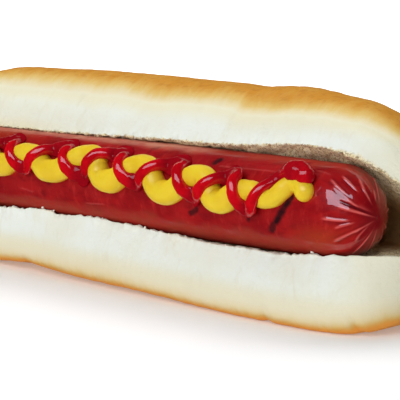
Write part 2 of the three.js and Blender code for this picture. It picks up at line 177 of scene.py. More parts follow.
# ---- Small helpers ----
def rise(value, low, high):
    """Rises smoothly from 0 to 1 between low and high."""
    t = np.clip((value - low) / (high - low), 0, 1)
    return t * t * (3 - 2 * t)


def fall(value, low, high):
    return 1 - rise(value, low, high)


def mix(a, b, t):
    return a + (b - a) * t


def bump(value, place, length):
    return np.exp(-(((value - place) / length) ** 2))


def bumps(value, *spots):
    """Rises and dips, each given as its place, height and length."""
    return sum(height * bump(value, place, length) for place, height, length in spots)


def steps(count):
    return np.linspace(0, 1, count + 1)


def noise_at(points, depth, size, seed, octaves=1):
    """Smooth noise of about plus or minus depth at points in mm; size is one number or one per axis."""
    scaled = points / np.asarray(size, dtype=float) + seed
    total = np.zeros(len(points))
    for octave in range(octaves):
        gain = 2**octave
        total += [noise.noise(p) / gain for p in (scaled * gain).tolist()]
    return depth * total


def grid_faces(rings, sides):
    """Quads between closed rings of equal size, and a fan to a tip at each end."""
    r, s = np.meshgrid(np.arange(rings - 1), np.arange(sides), indexing="ij")
    a = (r * sides + s).ravel()
    b = (r * sides + (s + 1) % sides).ravel()
    faces = np.stack([a, b, b + sides, a + sides], axis=1).tolist()
    last = (rings - 1) * sides
    tip = rings * sides
    faces += [[tip, (i + 1) % sides, i] for i in range(sides)]
    faces += [[tip + 1, last + i, last + (i + 1) % sides] for i in range(sides)]
    return faces


def with_tips(points, sides):
    """Adds the two tips, in the middle of the first ring and of the last."""
    return np.concatenate([points, [points[:sides].mean(axis=0), points[-sides:].mean(axis=0)]])


def with_tip_looks(looks):
    """Gives the two tips the numbers of the first point and of the last."""
    return {name: np.append(values, [values[0], values[-1]]) for name, values in looks.items()}


def lifted(grid, lift):
    """The points of a (rings, sides, 3) grid that closes round its sides, each moved outwards by its lift."""
    along = np.gradient(grid, axis=0)
    around = np.roll(grid, -1, axis=1) - np.roll(grid, 1, axis=1)
    normals = np.cross(around, along)
    normals /= np.maximum(np.linalg.norm(normals, axis=2, keepdims=True), 1e-9)
    if np.einsum("ijk,ijk->", normals, grid - grid.mean(axis=1, keepdims=True)) < 0:
        normals = -normals
    return grid.reshape(-1, 3) + normals.reshape(-1, 3) * lift[:, None]


def add_object(name, data):
    made = bpy.data.objects.new(name, data)
    bpy.context.collection.objects.link(made)
    return made


def make_mesh(name, points, faces, looks):
    """A smooth mesh object from points in mm; looks are the named numbers that its material reads."""
    mesh = bpy.data.meshes.new(name)
    mesh.from_pydata((np.asarray(points) * MM).tolist(), [], faces)
    for key, values in looks.items():
        layer = mesh.attributes.new(key, "FLOAT", "POINT")
        layer.data.foreach_set("value", np.asarray(values, dtype=np.float32))
    mesh.update()
    mesh.shade_smooth()
    return add_object(name, mesh)


# ---- The sausage's even surface ----
def sausage_radius(x):
    share = np.abs(x) / SAUSAGE_HALF_LENGTH
    body = SAUSAGE_RADIUS * (1 - SAUSAGE_SLIMMING * share * share)
    capped = into_cap(x)
    return body * np.sqrt(1 - capped * capped)


def into_cap(x):
    """0 on the body of the sausage, rising to 1 at the tips."""
    return np.clip((np.abs(x) - CAP_START) / CAP_LENGTH, 0, 1)


def over_skin(points):
    """How high points are over the skin."""
    return np.hypot(points[:, 1] - SAUSAGE_Y, points[:, 2] - SAUSAGE_Z) - sausage_radius(points[:, 0])


def off_axis(points, least):
    """Pushes points away from the sausage's axis until each is at least this far from it."""
    across = points[:, 1] - SAUSAGE_Y
    up = points[:, 2] - SAUSAGE_Z
    push = np.maximum(1, least / np.maximum(np.hypot(across, up), 1e-6))
    return np.stack([points[:, 0], SAUSAGE_Y + across * push, SAUSAGE_Z + up * push], axis=1)


# ---- Bun ----
def end_taper(x, power, run=END_RUN):
    share = min(1, max(0, (abs(x) - (BUN_HALF_LENGTH - run)) / run))
    return (1 - share**power) ** (1 / power)


def upper_thickness(x):
    fullness = UPPER_FULLNESS * fall(x, *FULLNESS_FADE)
    run = UPPER_END_RUN if x < 0 else UPPER_END_RUN_AHEAD
    return (UPPER_THICKNESS + fullness) * end_taper(x, END_UPPER_POWER, run)


def lower_lip_height(x):
    sag = rise(x, *LIP_SAG_PLACES)
    end_rise = END_LIP_RISE * rise(abs(x), END_LIP_FROM, BUN_HALF_LENGTH)
    return (mix(LIP_HEIGHT_BEHIND, LIP_HEIGHT_AHEAD, sag) + end_rise) * end_taper(x, END_PLAN_POWER)


def opening_at(x):
    gain = OPENING_GAIN * rise(x, *OPENING_GAIN_PLACES)
    return OPENING_ANGLE + gain + bumps(x, YAWN)


def quarter(count, power):
    angle = steps(count) * math.pi / 2
    return np.cos(angle).clip(0) ** (2 / power), np.sin(angle) ** (2 / power)


def closed_outline(x):
    """The closed bun's outline from the lower lip round the back to the upper lip, as distances in
    front of the hinge and heights above the slit."""
    width = end_taper(x, END_PLAN_POWER)
    upper = upper_thickness(x)
    lower = LOWER_THICKNESS * end_taper(x, END_LOWER_POWER)
    front = HINGE_FROM_FRONT * width
    back = (HINGE_FROM_FRONT - BUN_WIDTH) * width
    rim = RIM_RADIUS * end_taper(x, END_LOWER_POWER)
    side = upper * SIDE_HEIGHT / UPPER_THICKNESS
    crest = front - SHOULDER_RUN * width
    lower_back = LOWER_BACK_RUN * width
    wander = FRONT_WANDER * math.sin(x / WANDER_LENGTH) * width
    fuller = front + wander + LOWER_BULGE
    off_ground = bumps(x, RIM_LIFT)

    on_front, on_rim, on_base, on_lower_back, on_dome, on_shoulder, on_lip = OUTLINE_POINTS
    down = steps(on_front) ** EDGE_CROWDING
    rim_out, rim_down = quarter(on_rim, 2)
    along = steps(on_base)
    lower_in, lower_down = quarter(on_lower_back, LOWER_BACK_POWER)
    dome_out, dome_up = quarter(on_dome, DOME_POWER)
    shoulder_out, shoulder_up = quarter(on_shoulder, SHOULDER_POWER)
    to_lip = 1 - (1 - steps(on_lip)) ** EDGE_CROWDING
    stretches = [
        (mix(front, fuller, np.sin(down * math.pi / 2)),
         mix(lower_lip_height(x), off_ground + rim - lower, down)),
        (fuller - rim + rim * rim_out, off_ground + rim - lower - rim * rim_down),
        (mix(fuller - rim, back + lower_back, along),
         off_ground * np.maximum(0, 1 - along / RIM_LIFT_SHARE) ** 2 - lower),
        ((back + lower_back * (1 - lower_in))[::-1], (-lower * lower_down)[::-1]),
        (mix(crest, back, dome_out), upper * dome_up),
        (mix(crest, front, shoulder_out)[::-1], (side + (upper - side) * shoulder_up)[::-1]),
        (front + UPPER_BULGE * width * np.sin(math.pi * to_lip) * (1 - to_lip), side * (1 - to_lip)),
    ]
    first, *others = [np.stack(stretch) for stretch in stretches]
    return np.concatenate([first, *(stretch[:, 1:] for stretch in others)], axis=1)


def outside_sausage(points):
    """Presses the bread back where the sausage lies, and just past the sausage's tips."""
    radius = sausage_radius(np.maximum(0, np.abs(points[:, 0]) - POCKET_LEAD))
    return off_axis(points, np.where(radius > 0, radius + POCKET_GAP, 0))


def bun_section(x):
    """Points round one section, with their heights in the closed bun and 1 where they are cut bread."""
    width = end_taper(x, END_PLAN_POWER)
    hinge_y = (SAUSAGE_Y - FRONT_OVERHANG + PLAN_CENTRE_FROM_FRONT
               + (HINGE_FROM_FRONT - PLAN_CENTRE_FROM_FRONT) * width)
    hinge_z = SAUSAGE_Z - SEAT_BELOW_AXIS
    opening = opening_at(x)

    def place(distance, angle):
        distance, angle = np.broadcast_arrays(distance, np.radians(angle))
        return np.stack([np.full(distance.shape, x), hinge_y + distance * np.cos(angle),
                         np.maximum(0, hinge_z + distance * np.sin(angle))], axis=1)

    ahead, height = closed_outline(x)
    angle = np.degrees(np.arctan2(height, -ahead))
    bend = rise(angle, *BEND_ANGLES)
    bend[:OUTLINE_POINTS[0] + 1] = 0
    bend[-1] = 1
    outline = place(np.hypot(ahead, height), angle - opening * bend)

    lip = HINGE_FROM_FRONT * width
    slit_end = (HINGE_FROM_FRONT - SLIT_DEPTH) * width
    inward = mix(lip, slit_end, steps(CUT_POINTS)[1:] ** EDGE_CROWDING)
    upper_face = place(inward, 180 - opening)
    bottom = place(np.array([max(0, slit_end - SLIT_END_ROUND * width)]), 180 - opening / 2)
    lower_face = place(inward, 180)
    lower_face[:, 2] += lower_lip_height(x) * (inward / lip) ** 2
    points = np.concatenate([outline, upper_face, bottom, lower_face[::-1]])
    on_outline = len(outline)
    cut = np.ones(len(points))
    cut[:on_outline] = 0
    heights = np.concatenate([height, np.zeros(len(points) - on_outline)])
    aheads = np.concatenate([ahead, inward, [slit_end], inward[::-1]])
    return outside_sausage(points), heights, aheads, cut


def bun_places():
    """Sections along the bun; those of the ends follow the rounding, so they don't thin out there."""
    straight = BUN_HALF_LENGTH - END_RUN
    angle = steps(BUN_END_SECTIONS) * math.radians(BUN_LAST_TURN)
    share = np.sin(angle) ** (2 / END_PLAN_POWER)
    even = steps(BUN_END_SECTIONS)
    share = mix(even, share, rise(even, 0.2, 0.7))
    ends = straight + END_RUN * np.sort(share)
    middle = mix(-straight, straight, steps(BUN_MIDDLE_SECTIONS)[1:-1])
    return np.concatenate([-ends[::-1], middle, ends])


# ---- Bread, its relief ----
LIP_ROUNDING = 4  # passes that round the two lips and the end of the slit
LIP_REACH = 5  # points to either side that these passes move
UNEVEN = (0.35, 34, 3.1, 2)  # depth, size, seed and octaves, as of every noise below
WRINKLED = (0.12, (2.6, 30, 22), 8.7)
CRUMBY = (0.5, 2.4, 5.3, 3)
CRUMB_CAP = 0.175  # crumb stands out this far at most
LIP_CRUMB_SHARE = 0.35
TOOTHED = (0.42, (1.5, 9, 9), 1.9, 3)  # the lips' uneven edge
TOOTH_REACH = 1.3
LIPS_FADE = (74, 84)  # the lips' own unevenness fades out between these places, towards both ends
CROWN_KINKS = [(30.6, -0.3, 3.5), (43, 0.3, 6), (56, -0.55, 7)]  # place, height and width
KINKED_SHARES = (0.5, 0.8)  # share of the thickness over which the kinks come in
NOTCHES = [(-33, 0.5, 2.2), (55.8, 0.45, 1.3), (79.2, 1, 0.7)]  # place, depth and width in the rim
NOTCH_HEIGHTS = (6, 1.5)  # heights over the base between which a notch comes in
NOTCH_REACH = 8
RAGGED = (0.5, (0.8, 1.8, 1.8), 12.4, 3)  # the wandering of the edges between skin, pale and torn crumb
TEAR_REACH = 0.25  # the upper lip's torn crumb reaches this far out onto its skin
TEAR_GAIN = (73, 1.1, 7)  # and further here: place, reach and length
TEAR_FULL_SHARE = 0.2
LIP_DIPS = [  # place, depth and width in the lower lip
    (-42, 1.1, 6), (-34, 0.5, 3), (-18, 0.6, 3.5), (36, 0.3, 7), (58, 0.35, 9),
]
LIP_DIP_REACH = 3.5
LIP_RISE = 0.22  # the upper lip curls up this much, which ends between the next two places
LIP_RISE_UNTIL = (30, 46)
RIM_RISE = (5, 0.9, 22)  # the base's front rim curls up here: place, height and length
RIM_RISE_REACH = (16, 1)  # distances behind the bun's front between which it comes in
LOWER_FACE_DROP = 0.45  # the lower cut face lies this far below its lip, so the lip hides it from the front
DROP_FROM = (0.4, 1.6)  # distances behind the lip between which the drop comes in
DROP_TO = (4, 9)  # and those between which it goes


def build_bun():
    places = bun_places()
    sections = [bun_section(x) for x in places]
    grid, heights, aheads, cut = (np.array([s[i] for s in sections]) for i in range(4))
    round_lips(grid, cut)
    at = bread_facts(places, grid, heights, aheads, cut)
    points = lifted(grid, bread_relief(grid.reshape(-1, 3), at))
    shift_edges(points, at)
    looks = bread_looks(points, at)
    rings, sides, _ = grid.shape
    return make_mesh("Bun_bread", with_tips(points, sides), grid_faces(rings, sides), with_tip_looks(looks))


def round_lips(grid, cut):
    """Eases the sections near both lips and the end of the slit, and where their cut bread begins."""
    sides = grid.shape[1]
    columns = np.arange(sides)
    near = np.zeros(sides, dtype=bool)
    for centre in (0, UPPER_LIP, UPPER_LIP + CUT_POINTS + 1):
        apart = np.abs(columns - centre)
        near |= np.minimum(apart, sides - apart) <= LIP_REACH
    for _ in range(LIP_ROUNDING):
        for rows in (grid, cut):
            eased = (np.roll(rows, 1, axis=1) + 2 * rows + np.roll(rows, -1, axis=1)) / 4
            rows[:, near] = eased[:, near]


def bread_facts(places, grid, heights, aheads, cut):
    """What the relief and the looks of each point depend on, taken from the even bun."""
    rings, sides, _ = grid.shape
    points = grid.reshape(-1, 3)
    x = grid[:, :, 0].ravel()
    height = heights.ravel()
    from_lower = np.linalg.norm(grid - grid[:, :1], axis=2).ravel()
    from_upper = np.linalg.norm(grid - grid[:, UPPER_LIP:UPPER_LIP + 1], axis=2).ravel()
    ragged = noise_at(points, *RAGGED)
    tear = TEAR_REACH + bumps(x, TEAR_GAIN)
    torn = fall(from_upper + ragged, TEAR_FULL_SHARE * tear, tear)
    thickness = np.array([upper_thickness(place) for place in places]).repeat(sides)
    rim_depth = LOWER_THICKNESS * np.array([end_taper(place, END_LOWER_POWER) for place in places])
    rim_depth = np.maximum(rim_depth, END_CRUST_DEPTH) - bumps(places, RIM_LIFT)
    return SimpleNamespace(
        x=x, height=height, ahead=aheads.ravel(), from_lower=from_lower, from_upper=from_upper,
        ragged=ragged, cut=np.maximum(cut.ravel(), torn), share=height / np.maximum(thickness, 1),
        over_base=np.maximum(0, rim_depth.repeat(sides) + height),
        lip=bump(np.minimum(from_lower, from_upper), 0, TOOTH_REACH),
        amid=fall(np.abs(x), *LIPS_FADE),
        below=np.tile(np.arange(sides) > UPPER_LIP + CUT_POINTS, rings),
    )


def bread_relief(points, at):
    """How far each point stands out of the even bun."""
    skin = 1 - at.cut
    lift = noise_at(points, *UNEVEN) * skin
    lift += noise_at(points, *WRINKLED) * skin
    crumb = np.minimum(noise_at(points, *CRUMBY), CRUMB_CAP)
    lift += crumb * np.maximum(at.cut, LIP_CRUMB_SHARE * at.lip)
    lift += noise_at(points, *TOOTHED) * at.lip * at.amid
    rim = rise(-at.height, *(LOWER_THICKNESS - height for height in NOTCH_HEIGHTS))
    in_front = rise(at.ahead, HINGE_FROM_FRONT - NOTCH_REACH, HINGE_FROM_FRONT)
    lift -= bumps(at.x, *NOTCHES) * rim * in_front
    return lift + bumps(at.x, *CROWN_KINKS) * rise(at.share, *KINKED_SHARES)


def shift_edges(points, at):
    """Moves both lips, the base's front rim and the lower cut face up or down."""
    near_lower_lip = bump(at.from_lower, 0, LIP_DIP_REACH)
    near_upper_lip = bump(at.from_upper, 0, LIP_DIP_REACH)
    points[:, 2] -= bumps(at.x, *LIP_DIPS) * near_lower_lip
    points[:, 2] += LIP_RISE * near_upper_lip * fall(at.x, *LIP_RISE_UNTIL) * at.amid
    near_rim = rise(at.ahead, *(HINGE_FROM_FRONT - reach for reach in RIM_RISE_REACH))
    near_rim = near_rim * (1 - near_lower_lip)
    low = rise(-at.height, 0, LOWER_THICKNESS)
    points[:, 2] += bumps(at.x, RIM_RISE) * near_rim * low
    points[:, 2] = np.maximum(points[:, 2], 0)
    behind_lip = rise(at.from_lower, *DROP_FROM) * fall(at.from_lower, *DROP_TO)
    points[:, 2] -= LOWER_FACE_DROP * (behind_lip * at.below * at.amid)


# ---- Bread, where it is baked, creamy or cut, and where shade is painted ----
CLOUDY = (1, 17, 2.2, 2)
STREAKY = (1, (2, 9, 9), 4.4, 2)
CROWN_EDGE = (  # places along the bun, and where its crown's crust ends there as a share of the thickness
    (-86, -37, -1, 29.5, 33.5, 49, 64, 76, 86), (0.64, 0.63, 0.55, 0.54, 0.48, 0.46, 0.5, 0.64, 0.82),
)
CROWN_BLUR = 0.15  # share over which the crust fades to either side of that edge
CROWN_CLOUDING = 0.035
CROWN_STREAKING = 0.008
BACK_EDGE_SHARE = 0.42
BACK_BLUR = 0.3
BACK_CLOUDING = 0.1
BACK_FADE = (8, 22)  # the back's own edge of the crust takes over between these two places
TOP_FADE = (-2, 22)  # towards the back, the top of the crown turns darker between these
TOP_SHARES = (0.75, 1)  # and between these shares of the thickness
BASE_CRUST = 0.8  # height of the base's full crust
BASE_BAKE = 0.74
# Places along the bun, and the height over which the base's crust fades there
BASE_FADE = ((-86, -25, -2, 18, 74, 86), (1.9, 1.8, 2.6, 1.8, 1.9, 2.6))
SEAM_HEIGHT = 0.4  # the orange line along the base
SEAM_WIDTH = 0.95
END_CRUST_DEPTH = 13.9  # the base's crust follows the rim up round the ends to this depth under the slit
END_CRUST = (80, 87)  # the ends are baked between these places
END_BAKE = (0.1, 0.5)  # how baked they are, from low to high
END_BAKE_SHARES = (0.1, 0.4)  # shares of the thickness between which that changes
CREAM_ABOVE = 0.22  # share of thickness under the crown's crust that stays cream
CREAM_BELOW = 10  # height over the base that stays cream
END_CREAM = 0.7
END_CREAM_PLACES = (68, 84)
BEHIND_CREAM = 0.4  # creaminess of the upper half towards the -X end
BEHIND_CREAM_PLACES = (-20, 50)
LIP_SHADE_REACH = 4  # painted shade: the bread over the upper lip is darker and creamy this far up, more so towards the -X end
LIP_SHADE_PLACES = (5, 45)
PALE_LIP = (0.8, 3.5)  # the lower cut face turns from pale to crumb between these distances from its lip
SLIT_SHADE_PLACES = (-8, 3)  # painted shade: the crumb darkens into the slit between these two places


def bread_looks(points, at):
    """How baked, dark on top, creamy, cut and deep in the slit each point is, with shade painted near the
    upper lip and deep in the slit.
    """
    x, y = points[:, 0], points[:, 1]
    pale = at.below * fall(at.from_lower + 2 * at.ragged, *PALE_LIP)
    cut = at.cut * (1 - pale)
    cloud = noise_at(points, *CLOUDY)
    streak = noise_at(points, *STREAKY)
    behind = rise(y, *BACK_FADE)
    edge = mix(np.interp(x, *CROWN_EDGE), BACK_EDGE_SHARE, behind)
    above = at.share - edge + (CROWN_CLOUDING + BACK_CLOUDING * behind) * cloud + CROWN_STREAKING * streak
    crown = np.clip(0.5 + above / (2 * mix(CROWN_BLUR, BACK_BLUR, behind)), 0, 1)
    over_crust = np.maximum(0, at.over_base - BASE_CRUST + 0.3 * cloud)
    base = BASE_BAKE * np.exp(-over_crust / np.interp(x, *BASE_FADE))
    ends = rise(np.abs(x) + 3 * cloud + 0.6 * streak, *END_CRUST)
    ends = ends * mix(*END_BAKE, rise(at.share, *END_BAKE_SHARES))
    creams = [
        rise(above, -CROWN_BLUR - CREAM_ABOVE, -CROWN_BLUR),
        fall(at.over_base, CREAM_BELOW / 2, CREAM_BELOW),
        END_CREAM * rise(np.abs(x), *END_CREAM_PLACES),
        BEHIND_CREAM * rise(-x, *BEHIND_CREAM_PLACES) * rise(at.share, 0, 0.1),
        # painted shade on the bread just above the upper lip
        bump(at.from_upper, 0, LIP_SHADE_REACH) * rise(-at.x, *LIP_SHADE_PLACES),
    ]
    return {
        "bake": np.maximum.reduce([crown, base, ends]) * (1 - cut),
        "top": rise(at.share + 0.06 * cloud, *TOP_SHARES) * rise(y, *TOP_FADE),
        "cream": np.maximum.reduce(creams),
        "seam": bump(at.over_base, SEAM_HEIGHT, SEAM_WIDTH) * (1 - cut),
        "cut": cut,
        # painted shade deep in the slit
        "slit_shade": rise(y + at.ragged, *SLIT_SHADE_PLACES) * at.cut,
    }


# ---- Sausage ----
FOLDS_BEHIND = 15  # folds at the -X tip, evenly spread but for their unevenness
FOLDS_AHEAD = [  # folds at the +X tip: place and angle where each starts and ends, and its height
    (70.6, 51, 75.8, 41, 0.3), (71.8, 45, 76.2, 36, 0.16), (72.4, 63, 76.8, 58, 0.3),
    (75.1, 80, 79, 66, 0.34), (77.8, 99, 79.2, 90, 0.25), (76.2, 35, 78.2, 29, 0.26),
    (74.8, 18, 79.6, 17, 0.26), (71.3, 0, 77.2, -2, 0.34), (74.3, -13, 77.8, -7, 0.28),
    (73.3, -32, 78.7, -24, 0.3), (77.6, -29, 79.7, -22, 0.18), (77.2, -47, 79.4, -31, 0.2),
    (74.5, 27, 79.4, 25, -0.4), (74, 118, 79, 108, 0.3), (75, 142, 79.2, 150, 0.25),
    (74.5, 175, 79, 168, 0.3), (75, 205, 79.2, 211, 0.25), (74, 238, 79, 230, 0.3),
    (75.5, 262, 79.3, 270, 0.25), (74.5, 290, 79.2, 296, 0.3),
]
FOLD_WIDTH = 0.4
FOLD_VALLEYS = (0.4, 2.4)  # depth of the valleys beside a fold, and their width, as shares of the fold's
LEAST_RADIUS_SHARE = 0.3  # folds cut in no deeper than this share of the radius
SWOLLEN = (0.1, 14, 6.1, 2)
RIPPLED = (0.03, (5, 1.6, 1.6), 9.9, 2)
MARKS = [  # grill marks: two ends as (place along, angle), half width and strength
    ((56.4, -24), (58.4, -12), 0.95, 0.8),
    ((58.4, -12), (62.6, 19), 1.1, 1),
    ((35.8, 54), (36.4, 60), 1.2, 1),
    ((31.4, -16), (33.8, -11), 0.85, 0.8),
    ((50, -14), (50.2, -13), 0.7, 0.75),
    ((59.5, 54), (61, 74), 0.8, 0.45),
    ((12.4, 57), (13.6, 70), 0.9, 0.4),
    ((2.2, -9), (3.4, 2), 0.9, 0.3),
    ((-33.4, 76), (-32.4, 90), 1, 0.3),
    ((-22, -20), (-19, -6), 0.9, 0.25),
    ((-47, -18), (-43.5, 4), 0.9, 0.45),
    ((-60, 52), (-58.6, 74), 0.9, 0.45),
    ((-71, -15), (-67.5, 12), 0.9, 0.5),
]
MARK_DEPTH = 0.12
MARK_EDGE = (0.35, 1.25)  # shares of the half width between which a mark fades
MARK_RAGGED = (0.35, 2.2, 7.7, 2)
WRINKLES = [  # fine raised lines in the skin, as two ends
    ((38, 48), (54.5, 50)), ((66, 60), (70, 57)), ((-6, -24), (1, -22)),
    ((-30, -16), (-26, -19)),
]
WRINKLE_HALF_WIDTH = 0.2
WRINKLE_HEIGHT = 0.14
# how strongly the wrinkles take the folds' painted highlight
WRINKLE_HIGHLIGHT = 0.3
BLOTCHED = (8, (7, 5, 5), 15.3, 3)  # its depth is in degrees round the sausage
DULL_ABOVE = 70  # degrees round the sausage past which its top and its underside are dull, and carry a painted reflection of the bread
DULL_BELOW = 32
DULL_FADE = 9
DULL_IN_CAP = (0.1, 0.7)  # shares of the gathered ends between which dullness and its painted reflection go
TOP_SHEEN_TURN = (65, 80)  # degrees round the sausage between which its top turns pale and matt-looking: a painted soft highlight
TOP_SHEEN_UNTIL = (22, 36)  # places along it between which that goes
WARM_SPOTS = [((70, 6), (-26, 13)), ((-46, 16), (72, 18))]  # place and reach along it, then round it
TIP_PLACES = (77.5, 80)  # the tips darken between these: painted shade where the gathered ends turn from the light
GLOSS_PLACES = (62, 67)  # the skin turns glossiest between these


def ring_places():
    """Places of the sausage's body rings, closer together where the skin is marked."""
    fine = np.linspace(-CAP_START, CAP_START, RING_SAMPLES)
    density = 1 + (MARKED_DENSITY - 1) * ((fine > MARKED_PLACES[0]) & (fine < MARKED_PLACES[1]))
    total = np.cumsum(density)
    return np.interp(np.linspace(total[0], total[-1], SAUSAGE_BODY_RINGS), total, fine)


def build_sausage():
    cap = CAP_START + CAP_LENGTH * np.sin(steps(CAP_RINGS)[1:] * math.radians(CAP_LAST_TURN))
    places = np.concatenate([-cap[::-1], ring_places(), cap])
    x, turn = np.meshgrid(places, steps(SAUSAGE_SIDES)[:-1] * TURN, indexing="ij")
    radius = sausage_radius(x)
    folds = fold_heights(x, turn, radius)
    forward = PUCKER_SHIFT * rise(into_cap(x), 0.1, 1)
    radius = np.maximum(radius + folds, LEAST_RADIUS_SHARE * radius)
    grid = np.stack([
        x, SAUSAGE_Y - forward - radius * np.cos(turn), SAUSAGE_Z + radius * np.sin(turn),
    ], axis=2)
    even = grid.reshape(-1, 3)
    degrees = (np.degrees(turn.ravel()) + 180) % 360 - 180
    marks = grill_marks(even, degrees)
    wrinkles = sum(bump(beside_line(even, degrees, *ends), 0, WRINKLE_HALF_WIDTH) for ends in WRINKLES)
    lift = noise_at(even, *SWOLLEN) + noise_at(even, *RIPPLED)
    lift -= MARK_DEPTH * marks
    lift += WRINKLE_HEIGHT * wrinkles
    points = lifted(grid, lift)
    looks = skin_looks(points, degrees, into_cap(x).ravel())
    looks["mark"] = marks
    # painted highlight along the ridges of the folds and on the wrinkles
    looks["fold"] = np.clip(np.maximum(5 * folds.ravel(), WRINKLE_HIGHLIGHT * wrinkles), 0, 1)
    # painted shade in the valleys beside the folds
    looks["crease_shade"] = np.clip(-6 * folds.ravel(), 0, 1)
    tip = SAUSAGE_HALF_LENGTH - TIP_DEPTH
    tips = [(end * tip, SAUSAGE_Y - PUCKER_SHIFT, SAUSAGE_Z) for end in (-1, 1)]
    faces = [[first, *rest[::-1]] for first, *rest in grid_faces(*x.shape)]  # its rings turn the other way
    return make_mesh("Sausage_skin", np.concatenate([points, tips]), faces, with_tip_looks(looks))


def skin_looks(points, degrees, capped):
    """How dull, warm and glossy each point of the skin is, with a painted reflection of the bread on its top
    and underside, a painted highlight along its top and painted shade at its tips.
    """
    x = points[:, 0]
    ragged = noise_at(points, *BLOTCHED)
    past = np.maximum(degrees - DULL_ABOVE, -degrees - DULL_BELOW)
    dull_and_sheen = rise(past + ragged, -DULL_FADE, DULL_FADE) * fall(capped, *DULL_IN_CAP)
    return {
        "dull_and_sheen": dull_and_sheen,
        "top_sheen": rise(degrees + 0.6 * ragged, *TOP_SHEEN_TURN) * fall(x, *TOP_SHEEN_UNTIL),
        "warm": sum(bump(x, *along) * bump(degrees, *around) for along, around in WARM_SPOTS),
        # painted shade on the gathered tips
        "tip": rise(np.abs(x), *TIP_PLACES),
        "gloss": rise(np.abs(x), *GLOSS_PLACES),
    }


def fold_list():
    """Every fold of the gathered skin, with the end it belongs to."""
    folds = [(1, *fold) for fold in FOLDS_AHEAD]
    for i in range(FOLDS_BEHIND):
        angle = 360 * (i + rng.uniform(-0.35, 0.35)) / FOLDS_BEHIND
        start = SAUSAGE_HALF_LENGTH - CAP_LENGTH * rng.uniform(0.45, 0.8)
        folds.append((-1, start, angle, SAUSAGE_HALF_LENGTH - 0.5, angle + rng.uniform(-9, 9),
                      rng.uniform(0.2, 0.36)))
    return folds


def fold_heights(x, turn, radius):
    """Height of the narrow folds that run together at the gathered ends of the skin."""
    height = np.zeros_like(x)
    depth, width = FOLD_VALLEYS
    for end, start, start_angle, stop, stop_angle, tall in fold_list():
        t = (end * x - start) / (stop - start)
        middle = np.radians(mix(start_angle, stop_angle, np.clip(t, -0.3, 1.2)))
        across = ((turn - middle + math.pi) % TURN - math.pi) * radius
        fade = rise(t, 0, 0.25) * fall(t, 0.85, 1.15)
        narrow = FOLD_WIDTH * (1 - 0.35 * np.clip(t, 0, 1))
        height += tall * fade * (bump(across, 0, narrow) - depth * bump(across, 0, width * narrow))
    return height


def beside_line(points, degrees, start, end):
    """How far points of the skin are from a line between two places on it."""
    along = points[:, 0]
    around = np.radians(degrees) * SAUSAGE_RADIUS
    first = np.array([start[0], math.radians(start[1]) * SAUSAGE_RADIUS])
    run = np.array([end[0], math.radians(end[1]) * SAUSAGE_RADIUS]) - first
    share = np.clip(((along - first[0]) * run[0] + (around - first[1]) * run[1]) / run.dot(run), 0, 1)
    return np.hypot(along - first[0] - share * run[0], around - first[1] - share * run[1])


def grill_marks(points, degrees):
    """How charred each point of the skin is, from 0 to 1."""
    ragged = noise_at(points, *MARK_RAGGED)
    total = np.zeros(len(points))
    for start, end, half_width, strength in MARKS:
        away = beside_line(points, degrees, start, end) + ragged
        charred = fall(away, *(share * half_width for share in MARK_EDGE))
        total = np.maximum(total, strength * charred)
    return total


# ---- Sauces ----
def swing_wave(swing):
    wave = np.cos(TURN * swing) - TURN_FLATNESS * np.cos(3 * TURN * swing)
    return wave / (1 - TURN_FLATNESS)


def swing_place(swing, late_pitch):
    return SLOWING_X + swing * np.where(swing > 0, late_pitch, SWING_PITCH)


def round_sausage(x, angle, distance):
    turn = np.radians(angle)
    return np.stack([x, SAUSAGE_Y - distance * np.cos(turn), SAUSAGE_Z + distance * np.sin(turn)], axis=1)


def straying(swing, strays):
    """How far swings stray from the even wave: along the sausage, and round it."""
    along = sum(shift * bump(swing, place, STRAY_SPAN) for place, shift, _ in strays)
    return along, sum(turn * bump(swing, place, STRAY_SPAN) for place, _, turn in strays)


def mustard_points(swing):
    along, round_it = straying(swing, MUSTARD_STRAYS)
    angle = MUSTARD_MIDDLE_ANGLE + MUSTARD_SWING_ANGLE * swing_wave(swing) + round_it
    x = swing_place(swing, MUSTARD_LATE_PITCH) + along
    return round_sausage(x, angle, sausage_radius(x) + MUSTARD_LIFT)


def mustard_size(swing):
    """The mustard's half width and half height."""
    towards_end = rise(swing, *MUSTARD_THINNING)
    radius = mix(MUSTARD_RADIUS, MUSTARD_LAST_RADIUS, towards_end)
    radius = radius - MUSTARD_TURN_SWELL * np.cos(TURN * swing) * (1 - towards_end)
    return radius, radius


def ketchup_path(swing):
    """Angle round the sausage and place along it of the ketchup's centre line."""
    past = np.maximum(0, swing - KETCHUP_LAST_TURN) / KETCHUP_LAST_TURN_SPAN
    turning = np.where(swing < KETCHUP_LAST_TURN, -swing_wave(swing), np.cos(math.pi / 2 * past**2))
    along, round_it = straying(swing, KETCHUP_STRAYS)
    angle = KETCHUP_MIDDLE_ANGLE + KETCHUP_SWING_ANGLE * turning + round_it
    return angle, swing_place(swing, KETCHUP_LATE_PITCH) + along


def over_mustard(swing):
    """How much the ketchup stands on the mustard, from 0 to 1, and how far it is off the skin for that."""
    angle, x = ketchup_path(swing)
    base = round_sausage(x, angle, sausage_radius(x) + MUSTARD_LIFT)
    reach = mustard_size(swing)[0] + KETCHUP_LIFT
    nearest = np.full(len(swing), np.inf)
    for offset in np.linspace(-CROSSING_SPAN, CROSSING_SPAN, CROSSING_SAMPLES + 1):
        beside = mustard_points(swing + offset)
        nearest = np.minimum(nearest, np.linalg.norm(beside - base, axis=1))
    share = 1 - np.minimum(1, nearest / (KETCHUP_EASING * reach)) ** 2
    return share, reach * share**KETCHUP_EASING_POWER


def ketchup_points(swing):
    angle, x = ketchup_path(swing)
    return round_sausage(x, angle, sausage_radius(x) + KETCHUP_LIFT + over_mustard(swing)[1])


